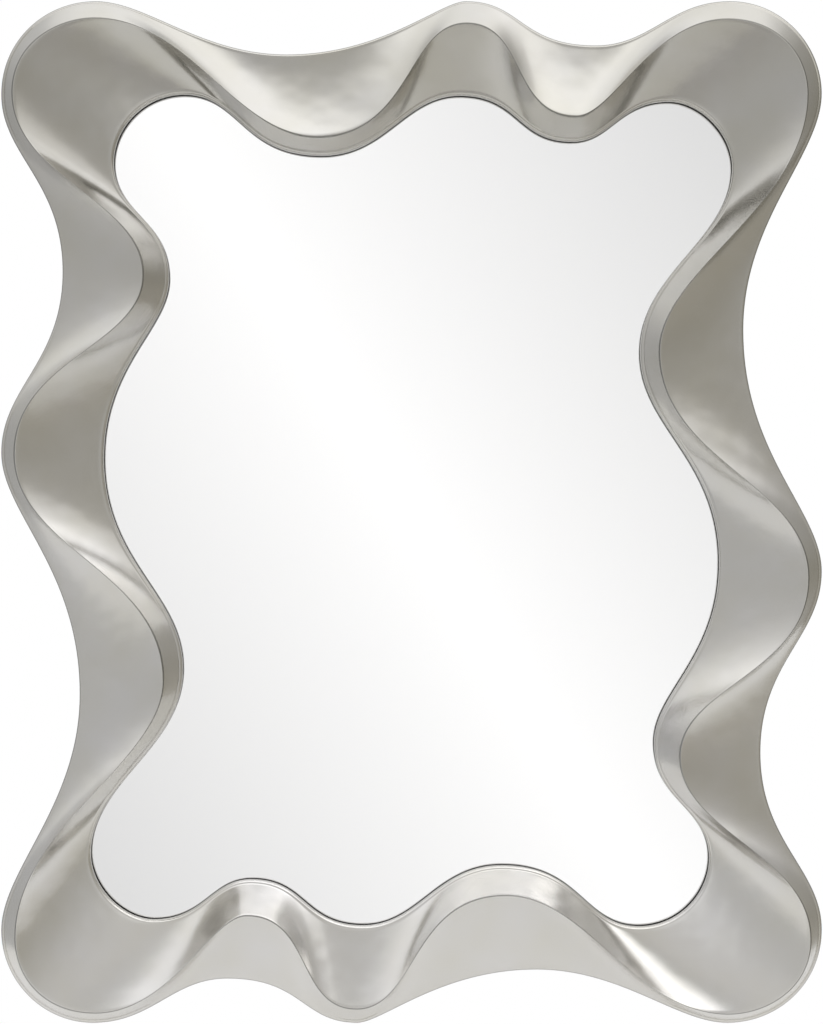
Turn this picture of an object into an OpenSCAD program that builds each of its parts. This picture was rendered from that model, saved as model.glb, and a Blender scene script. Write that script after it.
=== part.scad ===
// Wall mirror in a cast, wavy frame, with its glass, backing and hangers.
// Shapes are drawn flat, as seen from the front: x to the right, y up, z the height off the wall.
// stand() then turns that drawing upright, so the front faces -Y and the wall is the plane y = 0.

/* [Frame] */
// Overall width of the frame
frame_w = 816; // [760:1:900]
// Overall height of the frame
frame_h = 1016; // [960:1:1150]
// Height of the ridge line off the wall
ridge_h = 60; // [50:1:80]
// Height of the outer edge off the wall
edge_h = 34; // [28:1:46]
// Height of the lip round the glass off the wall
lip_h = 30; // [27:1:42]
// Radius of the rolled outer edge
edge_r = 3; // [1:0.5:4]
// Radius of the rolled lip round the glass
lip_r = 3; // [1:0.5:4]
// Hollow radius of the scoops outside the ridge
outer_scoop_r = 380; // [300:10:900]
// Hollow radius of the scoops inside the ridge
inner_scoop_r = 800; // [400:10:1500]
// How far the ridge line sits below the middle
ridge_drop = 4; // [0:0.5:6]
// How far the sight edge sits above the middle
sight_lift = 1.5; // [0:0.5:3]
// Wall of the casting round the base ring
skirt_t = 8; // [5:1:12]

/* [Glass] */
// Thickness of the mirror glass
glass_t = 4; // [3:1:6]
// How far the glass reaches behind the lip
glass_lap = 9; // [7:1:14]
// Gap between the edge of the glass and its rebate
glass_gap = 1.5; // [0.5:0.5:3]
// Thickness of the bedding tape between lip and glass
tape_t = 2; // [1:0.5:2.5]
// Width of the bedding tape
tape_w = 4; // [3:0.5:5]
// How far the bedding tape is set back from the sight edge
tape_inset = 3; // [2:0.5:4]

/* [Backing] */
// Thickness of the fibreboard base ring
base_t = 9; // [8:1:12]
// Thickness of the back panel
panel_t = 4; // [3:0.5:5]
// How far the back panel laps onto the base ring
panel_lap = 14; // [12:1:18]
// Thickness of the foam sheet behind the glass
foam_t = 4; // [3:0.5:5]
// Side clearance of the parts let into each other
fit_gap = 0.3; // [0.2:0.1:0.6]

/* [Hangers] */
// Distance of the left and right hangers from the middle
side_hanger_x = 280; // [279:0.5:281]
// Height of the left and right hangers above the middle
side_hanger_y = 208; // [200:1:215]
// Distance of the top and bottom hangers left of the middle
rail_hanger_x = 120; // [110:1:130]
// Distance of the top hanger above the middle
top_hanger_y = 392; // [386:1:400]
// Distance of the bottom hanger below the middle
bottom_hanger_y = 422; // [415:1:430]
// Length of a hanger strap
strap_l = 40; // [36:1:41]
// Width of a hanger strap
strap_w = 16; // [14:1:18]
// Thickness of a hanger strap
strap_t = 2; // [1.5:0.1:2.2]
// Diameter of the ring wire
wire_d = 2.6; // [2.2:0.1:2.8]
// Radial play of the ring in its strap
pin_play = 0.08; // [0.05:0.01:0.1]
// Wall of the strap's rolled eye
eye_t = 1; // [0.8:0.1:1.2]
// Width of the ring, between the middles of its sides
ring_w = 26; // [24:0.5:30]
// Length of the straight sides of the ring
ring_side = 2; // [1:0.5:6]
// Bend radius at the corners of the ring
ring_r = 4; // [3.5:0.5:4.5]

/* [Screws and bumpers] */
// Number of screws round the back panel
panel_screws_n = 16; // [12:4:20]
// Shank diameter of the screws
screw_d = 3.5; // [3:0.1:4]
// Head diameter of the screws
head_d = 7; // [6:0.1:7.5]
// Length of the screws
screw_l = 8; // [6:0.5:8]
// Width of the cross slot in a screw head
slot_w = 0.9; // [0.7:0.1:1.1]
// Diameter of the bumpers
bumper_d = 22; // [16:1:26]
// Height of the bumpers, which is the gap left behind the frame
bumper_h = 7; // [6.8:0.1:10]
// Distance of the bumpers from the middle, sideways
bumper_x = 345; // [335:1:355]
// Distance of the bumpers from the middle, up and down
bumper_y = 435; // [425:1:445]

/* [Hidden] */
$fn = 48;

// Heights off the wall, from the back to the front
back_h = bumper_h;
panel_h = back_h + panel_t;
foam_h = panel_h + foam_t;
base_h = back_h + base_t;
glass_h = foam_h + glass_t;
tape_h = glass_h + tape_t;

// Distances from the sight edge, outwards
rebate = glass_lap + glass_gap;
panel_edge = rebate + panel_lap;
panel_screw_line = rebate + panel_lap / 2;

// Size that the three outlines are drawn at, and how far the chosen size stretches them
drawn = [816, 1016];
stretch = [frame_w / drawn.x, frame_h / drawn.y];

// Turning points of each outline over half a turn, from the top-left lobe clockwise.
// The other half is the same, turned half a turn about the middle.
// Each row: x, y, and the curve's handle lengths before and after the point.
EDGE = [
    [-314, 508, 50, 50], [-124, 455, 85, 95], [54, 508, 25, 55], [183, 464, 75, 55], [317, 508, 60, 50],
    [408, 416, 50, 60], [330, 181, 110, 125], [408, -59, 60, 65], [347, -239, 90, 90], [408, -415, 60, 55]
];
RIDGE = [
    [-312, 490, 35, 95], [-93, 373, 80, 95], [54, 485, 60, 60], [162, 393, 65, 35], [311, 489, 75, 50],
    [390, 415, 40, 110], [244, 162, 80, 110], [391, -61, 95, 95], [264, -237, 70, 75], [393, -417, 85, 50]
];
SIGHT = [
    [-227, 415, 40, 55], [-90, 354, 80, 65], [48, 414, 55, 60], [160, 368, 55, 40], [257, 408, 50, 30],
    [320, 342, 35, 70], [228, 158, 80, 75], [307, -52, 105, 95], [242, -232, 50, 60], [297, -347, 50, 35]
];
// Half of an outline's turning points lie on top, the other half down the right side
top_turns = 5;
half_turns = 10;
turns = 2 * half_turns;

// Points drawn between two turning points, and round the whole outline
steps = 12;
stations = turns * steps;
// Points across one scoop
scoop_steps = 6;
// Stations where the four pieces of the base ring meet, at the corners
corner_station = (top_turns - 0.5) * steps;
piece_stations = top_turns * steps;

// Ring centre line and the eye that holds it
pin_r = wire_d / 2;
eye_in_r = pin_r + pin_play;
eye_out_r = eye_in_r + eye_t;
pin_h = back_h - strap_t - fit_gap - pin_r;
// Distance of the two screws from the hinge line of a strap
strap_screw_y = [strap_l * 0.42, strap_l * 0.78];
// Where each hanger's hinge line is, and the way that its ring opens
LEFT_HANGER = [spread([-side_hanger_x, side_hanger_y]), 90];
RIGHT_HANGER = [spread([side_hanger_x, side_hanger_y]), -90];
TOP_HANGER = [spread([-rail_hanger_x, top_hanger_y]), 0];
BOTTOM_HANGER = [spread([-rail_hanger_x, -bottom_hanger_y]), 180];
HANGERS = [LEFT_HANGER, RIGHT_HANGER, TOP_HANGER, BOTTOM_HANGER];
bumper_round = 2;
over = 1;

// A place on the drawn size, moved to the chosen size
function spread(p) = [p.x * stretch.x, p.y * stretch.y];

// Row i of an outline, with the half turn applied to the second half
function turn_side(i) = i % turns < half_turns ? 1 : -1;
function turn_row(rows, i) = rows[i % half_turns];
function turn_point(rows, i) = turn_side(i) * spread([turn_row(rows, i).x, turn_row(rows, i).y]);
function turn_way(i) = turn_side(i) * (i % half_turns < top_turns ? [stretch.x, 0] : [0, -stretch.y]);

// A cubic curve from turning point i to the next one
function mix4(a, b, c, d, t) = pow(1 - t, 3) * a + 3 * t * pow(1 - t, 2) * b + 3 * t * t * (1 - t) * c + t * t * t * d;
function wave(rows, i, t) = mix4(
    turn_point(rows, i),
    turn_point(rows, i) + turn_row(rows, i)[3] * turn_way(i),
    turn_point(rows, i + 1) - turn_row(rows, i + 1)[2] * turn_way(i + 1),
    turn_point(rows, i + 1),
    t
);
function outline(rows, lift) = [
    for (i = [0 : turns - 1])
        for (k = [0 : steps - 1])
            wave(rows, i, k / steps) + [0, lift]
];

// The point at a station, and an outline pushed outwards by d
function at(points, k) = points[(k + stations) % stations];
function outward(points, k) =
    let (v = at(points, k + 1) - at(points, k - 1))
    [-v.y, v.x] / norm(v);
function pushed(points, d) = [for (k = [0 : stations - 1]) points[k] + d * outward(points, k)];

edge_line = outline(EDGE, 0);
ridge_line = outline(RIDGE, -ridge_drop);
sight_line = outline(SIGHT, sight_lift);

// Points across a hollow scoop, from its edge up to just before the ridge
function scoop_points(low, low_h, high, hollow_r) =
    let (dip = pow(norm(high - low), 2) / (2 * hollow_r))
    [
        for (j = [0 : scoop_steps - 1])
            let (t = j / scoop_steps)
            [each (low * (1 - t) + high * t), low_h + (ridge_h - low_h) * t - dip * t * (1 - t)]
    ];

// One section through the frame at station k, from the back of the skirt over the front and back again
function section(k) =
    let (
        edge = edge_line[k],
        out = outward(edge_line, k),
        sight = sight_line[k],
        away = outward(sight_line, k),
        slant = 1 - cos(45),
        ridge = ridge_line[k],
        edge_top = edge - edge_r * out,
        lip_top = sight + lip_r * away
    )
    concat(
        [
            [each edge, back_h],
            [each edge, edge_h - edge_r],
            [each (edge - edge_r * slant * out), edge_h - edge_r * slant]
        ],
        scoop_points(edge_top, edge_h, ridge, outer_scoop_r),
        [[each ridge, ridge_h]],
        reversed(scoop_points(lip_top, lip_h, ridge, inner_scoop_r)),
        [
            [each (sight + lip_r * slant * away), lip_h - lip_r * slant],
            [each sight, lip_h - lip_r],
            [each sight, tape_h],
            [each (sight + rebate * away), tape_h],
            [each (sight + rebate * away), base_h],
            [each (edge - skirt_t * out), base_h],
            [each (edge - skirt_t * out), back_h]
        ]
    );
function reversed(list) = [for (i = [len(list) - 1 : -1 : 0]) list[i]];

// Turns the flat drawing upright
module stand() {
    rotate([90, 0, 0]) children();
}

// A flat plate between two heights
module plate(points, low, high) {
    translate([0, 0, low]) linear_extrude(high - low) polygon(points);
}

// A closed skin through all the sections
module loft() {
    sections = [for (k = [0 : stations - 1]) section(k)];
    m = len(sections[0]);
    points = [for (s = sections) each s];
    faces = [
        for (k = [0 : stations - 1])
            for (j = [0 : m - 1])
                let (
                    a = k * m + j,
                    b = k * m + (j + 1) % m,
                    c = ((k + 1) % stations) * m + (j + 1) % m,
                    d = ((k + 1) % stations) * m + j
                )
                each [[a, b, c], [a, c, d]]
    ];
    polyhedron(points, faces, convexity = 8);
}

// Places of the panel screws, evenly spread and clear of the corner joints
function panel_screw_station(i) = round(i * stations / panel_screws_n + stations / panel_screws_n / 8);
function panel_screw_place(i) =
    let (k = panel_screw_station(i) % stations)
    sight_line[k] + panel_screw_line * outward(sight_line, k);

// The same thing at each panel screw
module at_panel_screws() {
    for (i = [0 : panel_screws_n - 1])
        translate([each panel_screw_place(i), back_h]) children();
}

// The same thing at both screws of one hanger
module at_strap_screws(hanger) {
    translate([each hanger[0], back_h - strap_t]) rotate(hanger[1])
        for (y = strap_screw_y)
            translate([0, y, 0]) children();
}

// Countersunk screw, its head flush at z = 0 and its point upwards
module screw() {
    head_l = (head_d - screw_d) / 2;
    slot_l = head_d * 0.55;
    slot_deep = head_l * 0.8;
    color("silver") difference() {
        rotate_extrude() polygon([
            [0, 0], [head_d / 2, 0], [head_d / 2, 0.3], [screw_d / 2, 0.3 + head_l],
            [screw_d / 2, screw_l - screw_d / 2], [0, screw_l]
        ]);
        for (a = [0, 90])
            rotate(a) translate([-slot_l / 2, -slot_w / 2, -over]) cube([slot_l, slot_w, slot_deep + over]);
    }
}

// Room for a screw: its countersink and its hole, a little wider than the screw
module screw_hole() {
    play = 0.1;
    head_l = (head_d - screw_d) / 2;
    translate([0, 0, -over]) cylinder(d = head_d + 2 * play, h = over + 0.3 + play);
    translate([0, 0, 0.3 + play - 0.01]) cylinder(d1 = head_d + 2 * play, d2 = screw_d + 2 * play, h = head_l);
    cylinder(d = screw_d + 2 * play, h = screw_l + play);
}

// Cast frame with its leafed face, the lip over the glass and the skirt round the base ring
module frame_shell() {
    color([0.72, 0.71, 0.68]) stand() loft();
}

// Silvered glass, cut to the outline of the lip
module mirror_glass() {
    color([0.85, 0.87, 0.88]) stand() plate(pushed(sight_line, glass_lap), foam_h, glass_h);
}

// Tape that beds the glass against the back of the lip
module bedding_tape() {
    color([0.12, 0.12, 0.12]) stand() difference() {
        plate(pushed(sight_line, tape_inset + tape_w), glass_h, tape_h);
        plate(pushed(sight_line, tape_inset), glass_h - over, tape_h + over);
    }
}

// Foam that presses the glass forwards
module foam_sheet() {
    color([0.93, 0.93, 0.9]) stand() plate(pushed(sight_line, glass_lap), panel_h, foam_h);
}

// Panel that closes the back, screwed to the base ring
module back_panel() {
    color([0.45, 0.33, 0.22]) stand() difference() {
        plate(pushed(sight_line, panel_edge - fit_gap), back_h, panel_h);
        at_panel_screws() screw_hole();
    }
}

module panel_screws() {
    stand() at_panel_screws() screw();
}

// A quarter of the base ring, from one corner joint to the next
module base_piece(quarter) {
    first = corner_station + (quarter - 1) * piece_stations;
    outer_side = pushed(edge_line, -skirt_t - fit_gap);
    inner_side = pushed(sight_line, rebate);
    ways = [first : first + piece_stations];
    back = [first + piece_stations : -1 : first];
    color([0.62, 0.5, 0.36]) stand() difference() {
        plate([for (k = ways) at(outer_side, k), for (k = back) at(inner_side, k)], back_h, base_h);
        plate(pushed(sight_line, panel_edge), back_h - over, panel_h);
        at_panel_screws() screw_hole();
        for (hanger = HANGERS)
            at_strap_screws(hanger) screw_hole();
    }
}

module base_top_rail() {
    base_piece(0);
}

module base_right_stile() {
    base_piece(1);
}

module base_bottom_rail() {
    base_piece(2);
}

module base_left_stile() {
    base_piece(3);
}

// Steel strap, rolled into an eye round the ring at one end
module strap(hanger) {
    color("silver") stand() difference() {
        translate([each hanger[0], 0]) rotate(hanger[1]) {
            difference() {
                union() {
                    translate([-strap_w / 2, 0, back_h - strap_t]) cube([strap_w, strap_l - strap_w / 2, strap_t]);
                    translate([0, strap_l - strap_w / 2, back_h - strap_t]) cylinder(d = strap_w, h = strap_t);
                    translate([-strap_w / 2, 0, pin_h]) rotate([0, 90, 0]) cylinder(r = eye_out_r, h = strap_w);
                }
                translate([-strap_w / 2 - over, 0, pin_h]) rotate([0, 90, 0])
                    cylinder(r = eye_in_r, h = strap_w + 2 * over);
            }
        }
        at_strap_screws(hanger) screw_hole();
    }
}

module left_strap() {
    strap(LEFT_HANGER);
}

module right_strap() {
    strap(RIGHT_HANGER);
}

module top_strap() {
    strap(TOP_HANGER);
}

module bottom_strap() {
    strap(BOTTOM_HANGER);
}

// Wire ring with one straight side, lying flat: the straight side is the hinge line
module ring_wire() {
    half = ring_w / 2;
    bar = half - ring_r;
    translate([-bar, 0, 0]) rotate([0, 90, 0]) cylinder(r = pin_r, h = 2 * bar);
    for (side = [-1, 1]) {
        translate([side * bar, -ring_r, 0]) rotate(side > 0 ? 0 : 90)
            rotate_extrude(angle = 90) translate([ring_r, 0]) circle(r = pin_r);
        translate([side * half, -ring_r, 0]) rotate([90, 0, 0]) cylinder(r = pin_r, h = ring_side);
    }
    translate([0, -ring_r - ring_side, 0]) rotate(180)
        rotate_extrude(angle = 180) translate([half, 0]) circle(r = pin_r);
}

// A ring in its strap, open when the strap hangs above it and folded back when it does not
module hanger_ring(hanger, folded) {
    color("gainsboro") stand() translate([each hanger[0], pin_h]) rotate(hanger[1] + (folded ? 180 : 0)) ring_wire();
}

module left_ring() {
    hanger_ring(LEFT_HANGER, false);
}

module right_ring() {
    hanger_ring(RIGHT_HANGER, false);
}

module top_ring() {
    hanger_ring(TOP_HANGER, false);
}

module bottom_ring() {
    hanger_ring(BOTTOM_HANGER, true);
}

module strap_screws() {
    stand() for (hanger = HANGERS)
        at_strap_screws(hanger) screw();
}

// Rubber bumper that keeps the frame off the wall
module bumper(side_x, side_y) {
    place = spread([side_x * bumper_x, side_y * bumper_y]);
    color([0.2, 0.2, 0.2]) stand() translate([each place, 0]) rotate_extrude() polygon([
        [0, 0], [bumper_d / 2 - bumper_round, 0],
        for (a = [15 : 15 : 90]) [bumper_d / 2 - bumper_round + bumper_round * sin(a), bumper_round - bumper_round * cos(a)],
        [bumper_d / 2, back_h], [0, back_h]
    ]);
}

module top_left_bumper() {
    bumper(-1, 1);
}

module top_right_bumper() {
    bumper(1, 1);
}

module bottom_right_bumper() {
    bumper(1, -1);
}

module bottom_left_bumper() {
    bumper(-1, -1);
}

frame_shell();
mirror_glass();
bedding_tape();
foam_sheet();
back_panel();
panel_screws();
base_top_rail();
base_right_stile();
base_bottom_rail();
base_left_stile();
left_strap();
right_strap();
top_strap();
bottom_strap();
left_ring();
right_ring();
top_ring();
bottom_ring();
strap_screws();
top_left_bumper();
top_right_bumper();
bottom_right_bumper();
bottom_left_bumper();
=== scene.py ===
"""Looks of a wall mirror in a cast, wavy frame: leafed frame, silvered glass, backing, screws and hangers.

Outlines are drawn flat as in the solids: x to the right, z up, in millimetres, with h the height off the
wall, which is the plane y = 0. The front faces -Y.
"""

import math

import bmesh
import bpy
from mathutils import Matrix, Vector
from mathutils.geometry import tessellate_polygon


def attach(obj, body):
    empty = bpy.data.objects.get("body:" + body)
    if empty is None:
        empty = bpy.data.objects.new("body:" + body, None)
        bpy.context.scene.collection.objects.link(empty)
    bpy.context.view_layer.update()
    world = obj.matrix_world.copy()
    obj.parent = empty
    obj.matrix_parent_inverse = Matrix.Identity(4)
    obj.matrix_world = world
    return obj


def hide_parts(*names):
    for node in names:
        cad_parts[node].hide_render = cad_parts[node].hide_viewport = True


MM = 0.001

# Heights off the wall, in mm
BACK_H = 7.0
PANEL_H = 11.0
FOAM_H = 15.0
BASE_H = 16.0
GLASS_H = 19.0
TAPE_H = 21.0
LIP_H = 30.0
EDGE_H = 34.0
RIDGE_H = 60.0

# Frame, in mm
EDGE_R = 3.0
LIP_R = 3.0
RIDGE_R = 1.4
RIDGE_DROP = 4.0
SIGHT_LIFT = 1.5
SKIRT_T = 8.0
OUTER_SCOOP_R = 380.0
INNER_SCOOP_R = 800.0
REBATE = 10.5

# Backing, in mm
GLASS_LAP = 9.0
SILVER_T = 0.1
SILVER_ARRIS = 0.02
TAPE_INSET = 3.0
TAPE_W = 4.0
TAPE_ARRIS = 0.2
PANEL_EDGE = 24.5
PANEL_SCREW_LINE = 17.5
PANEL_SCREWS = 16
FIT_GAP = 0.3
ARRIS = 0.5

# Screws and their holes in the back panel, in mm
SCREW_D = 3.5
SCREW_L = 8.0
POINT_R = 0.1
HEAD_D = 7.0
HEAD_CONE = (HEAD_D - SCREW_D) / 2
HEAD_EDGE = 0.3
HEAD_ARRIS = 0.2
CROSS_W = 0.9
CROSS_ARM = 0.275 * HEAD_D
CROSS_DEPTH = 0.8 * HEAD_CONE
CROSS_TAPER = 0.6
HOLE_PLAY = 0.1
HOLE_SINK = 0.4
HOLE_ARRIS = 0.25

# Straps and rings, in mm
STRAP_L = 40.0
STRAP_T = 2.0
STRAP_SCREWS = (0.42, 0.78)
WIRE_D = 2.6
PIN_H = BACK_H - STRAP_T - FIT_GAP - WIRE_D / 2
RING_W = 26.0
RING_SIDE = 2.0
RING_R = 4.0

# Turning points of each outline over half a turn, clockwise from the top-left lobe, in mm:
# x, z, and the curve's handle lengths before and after the point. The other half is turned half a turn.
EDGE = (
    (-314, 508, 50, 50), (-124, 455, 85, 95), (54, 508, 25, 55), (183, 464, 75, 55), (317, 508, 60, 50),
    (408, 416, 50, 60), (330, 181, 110, 125), (408, -59, 60, 65), (347, -239, 90, 90), (408, -415, 60, 55),
)
RIDGE = (
    (-312, 490, 35, 95), (-93, 373, 80, 95), (54, 485, 60, 60), (162, 393, 65, 35), (311, 489, 75, 50),
    (390, 415, 40, 110), (244, 162, 80, 110), (391, -61, 95, 95), (264, -237, 70, 75), (393, -417, 85, 50),
)
SIGHT = (
    (-227, 415, 40, 55), (-90, 354, 80, 65), (48, 414, 55, 60), (160, 368, 55, 40), (257, 408, 50, 30),
    (320, 342, 35, 70), (228, 158, 80, 75), (307, -52, 105, 95), (242, -232, 50, 60), (297, -347, 50, 35),
)
TOP_TURNS = 5
HALF_TURNS = 10
TURNS = 2 * HALF_TURNS

# Fineness: the solids have CAD_STEPS stations between two turning points, and the looks have FINE_STEPS
CAD_STEPS = 12
FINE_STEPS = 40
WALL_STEPS = 4
RIM_STEPS = 7
SCOOP_STEPS = 30
RIDGE_STEPS = 6
CIRCLE_STEPS = 32
BEND_STEPS = 10
BOW_STEPS = 40
WIRE_SIDES = 20
# Steepest fold, in degrees, that is still shaded smooth: on the frame, and on the other pieces
FRAME_CREASE = 50
CREASE = 35
WELD = 1e-6

# Hinge line of each hanger, as x and z in mm, and the way that its strap points, in degrees
HANGERS = {
    "left": (-280, 208, 90),
    "right": (280, 208, -90),
    "top": (-120, 392, 0),
    "bottom": (-120, -422, 180),
}
FOLDED = "bottom"

# Camera
CAMERA_AWAY = 2.6
LENS = 90.8


# Outlines


def turn_side(i):
    return 1 if i % TURNS < HALF_TURNS else -1


def turn_point(rows, i):
    x, z = rows[i % HALF_TURNS][:2]
    return turn_side(i) * x, turn_side(i) * z


def turn_way(i):
    side = turn_side(i)
    return (side, 0) if i % HALF_TURNS < TOP_TURNS else (0, -side)


def handles(rows, i):
    """The two handle points of turning point i."""
    (x, z), (u, w) = turn_point(rows, i), turn_way(i)
    before, after = rows[i % HALF_TURNS][2:]
    return (x - before * u, z - before * w), (x + after * u, z + after * w)


def outline(rows, lift, steps):
    """Points of a closed outline, in mm."""
    points = []
    for i in range(TURNS):
        a, b = turn_point(rows, i), handles(rows, i)[1]
        c, d = handles(rows, i + 1)[0], turn_point(rows, i + 1)
        for k in range(steps):
            t = k / steps
            weights = ((1 - t) ** 3, 3 * t * (1 - t) ** 2, 3 * t * t * (1 - t), t ** 3)
            x, z = (sum(w * p[axis] for w, p in zip(weights, (a, b, c, d))) for axis in (0, 1))
            points.append((x, z + lift))
    return points


def outward(points, k):
    """The way out of the outline at point k, square to it."""
    n = len(points)
    (x0, z0), (x1, z1) = points[(k - 1) % n], points[(k + 1) % n]
    u, w = x1 - x0, z1 - z0
    long = math.hypot(u, w)
    return -w / long, u / long


def pushed(points, d):
    """The outline moved outwards by d."""
    ways = [outward(points, k) for k in range(len(points))]
    return [(x + d * u, z + d * w) for (x, z), (u, w) in zip(points, ways)]


def place(x, z, h):
    """A point of the drawing in the scene, in metres."""
    return x * MM, -h * MM, z * MM


def put(name, data):
    """A new object in the scene."""
    obj = bpy.data.objects.new(name, data)
    bpy.context.scene.collection.objects.link(obj)
    return obj


# Node trees


class Tree:
    """A node tree, built line by line. A value given to a socket is a number, a colour or another socket."""

    def __init__(self, tree):
        self.tree = tree

    def add(self, kind, given=None, **settings):
        node = self.tree.nodes.new(kind)
        for name, value in settings.items():
            setattr(node, name, value)
        for name, value in (given or {}).items():
            self.feed(self.socket(node.inputs, name), value)
        return node

    @staticmethod
    def socket(sockets, name):
        if isinstance(name, int):
            return sockets[name]
        return next(s for s in sockets if s.name == name and s.enabled)

    def feed(self, socket, value):
        """Links a socket or sets its value. A colour is given as red, green and blue."""
        if isinstance(value, bpy.types.NodeSocket):
            self.tree.links.new(value, socket)
        elif socket.type == "RGBA":
            socket.default_value = (*value, 1)
        else:
            socket.default_value = value

    def out(self, kind, name, given=None, **settings):
        return self.socket(self.add(kind, given, **settings).outputs, name)

    def math(self, operation, a, b=0.0):
        return self.out("ShaderNodeMath", "Value", {0: a, 1: b}, operation=operation)

    def vector(self, operation, a, b):
        return self.out("ShaderNodeVectorMath", "Vector", {0: a, 1: b}, operation=operation)

    def scaled(self, a, k):
        return self.out("ShaderNodeVectorMath", "Vector", {0: a, 3: k}, operation="SCALE")

    def length(self, a):
        return self.out("ShaderNodeVectorMath", "Value", {0: a}, operation="LENGTH")

    def axes(self, a):
        return self.add("ShaderNodeSeparateXYZ", {0: a}).outputs

    def spread(self, value, start, end, low=0.0, high=1.0, rise="LINEAR"):
        """Takes a value from the range start to end over to the range low to high, and no further."""
        return self.out("ShaderNodeMapRange", "Result", {
            "Value": value, "From Min": start, "From Max": end, "To Min": low, "To Max": high,
        }, interpolation_type=rise)

    def mixed(self, share, a, b):
        """A colour between two colours."""
        return self.out("ShaderNodeMix", "Result", {0: share, 6: a, 7: b}, data_type="RGBA")

    def shape(self, obj):
        """An object's geometry in its own coordinates."""
        return self.out("GeometryNodeObjectInfo", "Geometry", {"Object": obj}, transform_space="ORIGINAL")

    def end(self, result, mesh, material):
        """Ends a geometry tree: plain geometry that has its finish."""
        mesh = self.out("GeometryNodeRealizeInstances", "Geometry", {"Geometry": mesh})
        mesh = self.out("GeometryNodeSetMaterial", "Geometry", {"Geometry": mesh, "Material": material})
        self.feed(result["Mesh"], mesh)
        return self.tree


def node_group(name, kind, inputs, outputs):
    """A new group with named sockets: its Tree, its input sockets and the sockets of its result."""
    group = bpy.data.node_groups.new(name, kind)
    for label, socket in inputs:
        group.interface.new_socket(label, in_out="INPUT", socket_type=socket)
    for label, socket in outputs:
        group.interface.new_socket(label, in_out="OUTPUT", socket_type=socket)
    given, result = group.nodes.new("NodeGroupInput"), group.nodes.new("NodeGroupOutput")
    return Tree(group), given.outputs, result.inputs


def grown(name, group, values, base=None):
    """Runs a geometry tree with these inputs and returns its result as a plain mesh object."""
    start = put(name, base or bpy.data.meshes.new(name))
    modifier = start.modifiers.new("grow", "NODES")
    modifier.node_group = group
    sockets = [s for s in group.interface.items_tree if s.item_type == "SOCKET" and s.in_out == "INPUT"]
    identifiers = {s.name: s.identifier for s in sockets}
    for label, value in values.items():
        modifier[identifiers[label]] = value
    bpy.context.view_layer.update()
    result = bpy.data.meshes.new_from_object(start.evaluated_get(bpy.context.evaluated_depsgraph_get()))
    bpy.data.objects.remove(start)
    result.name = name
    return put(name, result)


def outline_curve(name, rows, lift):
    """An outline as a closed Bezier curve with FINE_STEPS stations between two turning points."""
    curve = bpy.data.curves.new(name, "CURVE")
    curve.dimensions = "3D"
    curve.resolution_u = FINE_STEPS
    spline = curve.splines.new("BEZIER")
    spline.bezier_points.add(TURNS - 1)
    spline.use_cyclic_u = True
    for i, point in enumerate(spline.bezier_points):
        before, after = handles(rows, i)
        point.handle_left_type = point.handle_right_type = "FREE"
        x, z = turn_point(rows, i)
        point.co = place(x, z + lift, 0)
        point.handle_left = place(before[0], before[1] + lift, 0)
        point.handle_right = place(after[0], after[1] + lift, 0)
    return put(name, curve)


# Frame

SECTION_MARKS = ("outer_share", "ridge_share", "inner_share", "along", "edge_push", "sight_push", "raise")


def frame_section():
    """Rows of SECTION_MARKS for the closed section of the frame, from the back of the skirt over the front.

    A point is a mix of a place on the outer scoop, the ridge and a place on the inner scoop. It is pushed
    outwards from the edge and from the sight edge, and raised off the wall.
    """
    rows = []

    def on_edge(push, height):
        rows.append((1, 0, 0, 0, push * MM, 0, (height - EDGE_H) * MM))

    def on_sight(push, height):
        rows.append((0, 0, 1, 0, 0, push * MM, (height - LIP_H) * MM))

    quarter = [math.pi / 2 * k / RIM_STEPS for k in range(RIM_STEPS)]
    for k in range(WALL_STEPS):
        on_edge(EDGE_R, BACK_H + (EDGE_H - EDGE_R - BACK_H) * k / WALL_STEPS)
    for a in quarter:
        on_edge(EDGE_R * math.cos(a), EDGE_H - EDGE_R * (1 - math.sin(a)))
    for k in range(SCOOP_STEPS):
        rows.append((1, 0, 0, k / SCOOP_STEPS, 0, 0, 0))
    for k in range(RIDGE_STEPS + 1):
        t = k / RIDGE_STEPS
        rows.append(((1 - t) ** 2, 2 * t * (1 - t), t * t, 1, 0, 0, 0))
    for k in range(SCOOP_STEPS):
        rows.append((0, 0, 1, 1 - (k + 1) / SCOOP_STEPS, 0, 0, 0))
    for a in reversed(quarter):
        on_sight(-LIP_R * math.cos(a), LIP_H - LIP_R * (1 - math.sin(a)))
    on_sight(-LIP_R, TAPE_H)
    on_sight(REBATE - LIP_R, TAPE_H)
    on_sight(REBATE - LIP_R, BASE_H)
    on_edge(EDGE_R - SKIRT_T, BASE_H)
    on_edge(EDGE_R - SKIRT_T, BACK_H)
    rows.append(rows[0])
    return rows


def section_object(rows):
    """The section's rows as a row of points that carry them."""
    mesh = bpy.data.meshes.new("section")
    mesh.from_pydata([(0, 0, 0)] * len(rows), [], [])
    for mark, values in zip(SECTION_MARKS, zip(*rows)):
        mesh.attributes.new(mark, "FLOAT", "POINT").data.foreach_set("value", values)
    return put("section", mesh)


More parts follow.
